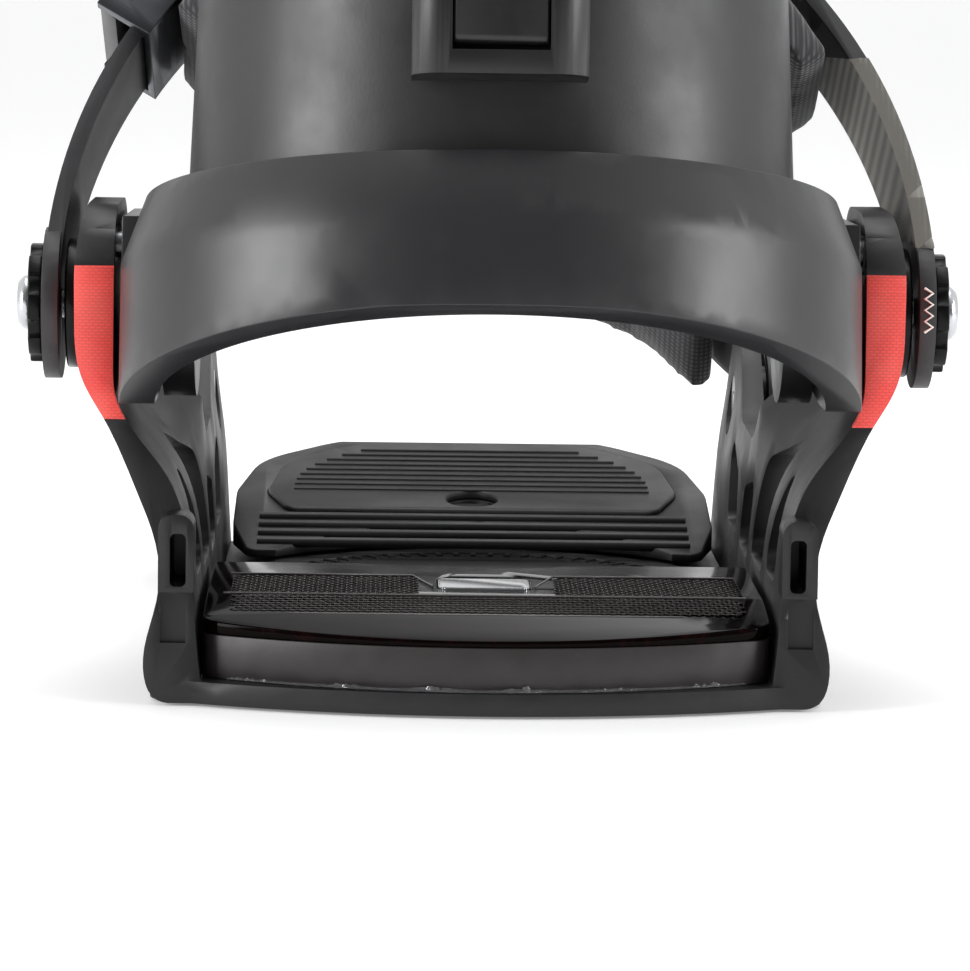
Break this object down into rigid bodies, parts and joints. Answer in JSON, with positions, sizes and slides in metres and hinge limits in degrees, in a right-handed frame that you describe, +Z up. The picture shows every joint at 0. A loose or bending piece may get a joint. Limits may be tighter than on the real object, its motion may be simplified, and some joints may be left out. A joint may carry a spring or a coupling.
{
  "type": "snowboard strap binding",
  "caption": "Strap binding for a snowboard: base with side arms, heel hoop, folding highback, sliding toe ramp, and ankle and toe straps with ratchet buckles.",
  "frame": {"origin": "centre of the mounting disc's four screw holes, on the board's top face", "axes": "+X to the right seen from the heel, +Y towards the toe, +Z up from the board"},
  "size_m": [0.1744, 0.3062, 0.266],
  "materials": {
    "base_nylon": "moulded glass-filled nylon, semi-matte",
    "hoop_nylon": "moulded nylon, satin",
    "back_nylon": "moulded nylon, satin",
    "coral_insert": "coral elastomer, satin",
    "pad_foam": "moulded EVA foam, satin skin",
    "gloss_cap": "clear-coated thermoplastic film, high gloss",
    "badge": "plain domed label, gloss",
    "eva_foam": "EVA foam, matte",
    "steel": "zinc plated, satin",
    "bolt_silver": "machined, satin",
    "knob_black": "moulded acetal, gloss",
    "tread_rubber": "ribbed rubber",
    "strap_plastic": "flexible urethane, satin",
    "strap_fabric": "woven cover over foam",
    "buckle_alloy": "anodised, satin",
    "pawl_black": "moulded nylon, satin"
  },
  "bodies": {
    "chassis": {"baseplate": "base_nylon", "arm_insert_left": "coral_insert", "arm_insert_right": "coral_insert", "heel_pad_foam": "pad_foam", "heel_pad_cap": "gloss_cap", "heel_badge": "badge", "heel_pad_screws": "steel", "rear_cushion": "eva_foam", "front_cushion": "eva_foam", "ankle_bolts": "bolt_silver", "ankle_knob_left": "knob_black", "ankle_knob_right": "knob_black", "ankle_washer_left": "knob_black", "ankle_washer_right": "knob_black", "ankle_tnuts": "steel", "toe_bolts": "bolt_silver", "toe_washers": "knob_black", "toe_tnuts": "steel"},
    "disc": {"mounting_disc": "base_nylon", "disc_cover": "knob_black"},
    "ramp": {"toe_ramp": "base_nylon", "toe_tread": "tread_rubber", "toe_ramp_screw": "steel"},
    "hoop": {"heel_hoop": "hoop_nylon", "hoop_bolts": "steel", "hoop_nuts": "steel", "highback_pivot_screws": "bolt_silver"},
    "highback": {"highback_shell": "back_nylon", "highback_lining": "eva_foam"},
    "lean_adjuster": {"lean_block": "pawl_black", "lean_pin": "steel"},
    "lean_clamp": {"lean_lever": "pawl_black"},
    "ankle_strap": {"ankle_ladder": "strap_plastic", "ankle_connector": "strap_plastic", "ankle_pad": "strap_fabric", "ankle_buckle_base": "buckle_alloy", "ankle_lever_pin": "steel", "ankle_pawl_pin": "steel", "ankle_pawl_spring": "steel"},
    "ankle_buckle_lever": {"ankle_lever": "buckle_alloy"},
    "ankle_buckle_pawl": {"ankle_pawl": "pawl_black"},
    "toe_strap": {"toe_ladder": "strap_plastic", "toe_connector": "strap_plastic", "toe_pad": "strap_fabric", "toe_buckle_base": "buckle_alloy", "toe_lever_pin": "steel", "toe_pawl_pin": "steel", "toe_pawl_spring": "steel"},
    "toe_buckle_lever": {"toe_lever": "buckle_alloy"},
    "toe_buckle_pawl": {"toe_pawl": "pawl_black"}
  },
  "joints": [
    {"name": "disc_turn", "type": "hinge", "parent": "chassis", "child": "disc", "pos_m": [0, 0, 0], "axis": [0, 0, 1], "range_deg": [-45, 45]},
    {"name": "ramp_slide", "type": "slide", "parent": "chassis", "child": "ramp", "axis": [0, 1, 0], "range_m": [0, 0.012]},
    {"name": "hoop_slide", "type": "slide", "parent": "chassis", "child": "hoop", "axis": [0, 1, 0], "range_m": [-0.005, 0.005]},
    {"name": "highback_fold", "type": "hinge", "parent": "hoop", "child": "highback", "pos_m": [0, -0.08, 0.0694], "axis": [-1, 0, 0], "range_deg": [0, 50]},
    {"name": "lean_slide", "type": "slide", "parent": "highback", "child": "lean_adjuster", "axis": [0, 0.1325, 0.9912], "range_m": [0, 0.012]},
    {"name": "lean_clamp_flip", "type": "hinge", "parent": "lean_adjuster", "child": "lean_clamp", "pos_m": [0, -0.15686, 0.13543], "axis": [-1, 0, 0], "range_deg": [0, 80]},
    {"name": "ankle_swing", "type": "hinge", "parent": "chassis", "child": "ankle_strap", "pos_m": [0, -0.08, 0.0694], "axis": [-1, 0, 0], "range_deg": [0, 50]},
    {"name": "ankle_lever_lift", "type": "hinge", "parent": "ankle_strap", "child": "ankle_buckle_lever", "pos_m": [-0.06164, -0.04545, 0.12924], "axis": [0, -0.866, 0.5], "range_deg": [0, 70]},
    {"name": "ankle_pawl_press", "type": "hinge", "parent": "ankle_strap", "child": "ankle_buckle_pawl", "pos_m": [-0.06846, -0.05053, 0.12044], "axis": [0, -0.866, 0.5], "range_deg": [0, 12], "stiffness_Nm_per_rad": 0.02, "springref_deg": -17.19},
    {"name": "toe_swing", "type": "hinge", "parent": "chassis", "child": "toe_strap", "pos_m": [0, 0.055, 0.038], "axis": [1, 0, 0], "range_deg": [-12, 40]},
    {"name": "toe_lever_lift", "type": "hinge", "parent": "toe_strap", "child": "toe_buckle_lever", "pos_m": [-0.05091, 0.11066, 0.06396], "axis": [0, -0.4226, 0.9063], "range_deg": [0, 70]},
    {"name": "toe_pawl_press", "type": "hinge", "parent": "toe_strap", "child": "toe_buckle_pawl", "pos_m": [-0.0557, 0.10229, 0.06005], "axis": [0, -0.4226, 0.9063], "range_deg": [0, 12], "stiffness_Nm_per_rad": 0.02, "springref_deg": -17.19}
  ],
  "couplings": [
    {"joint": "ankle_swing", "follows": "highback_fold", "ratio": 1}
  ]
}
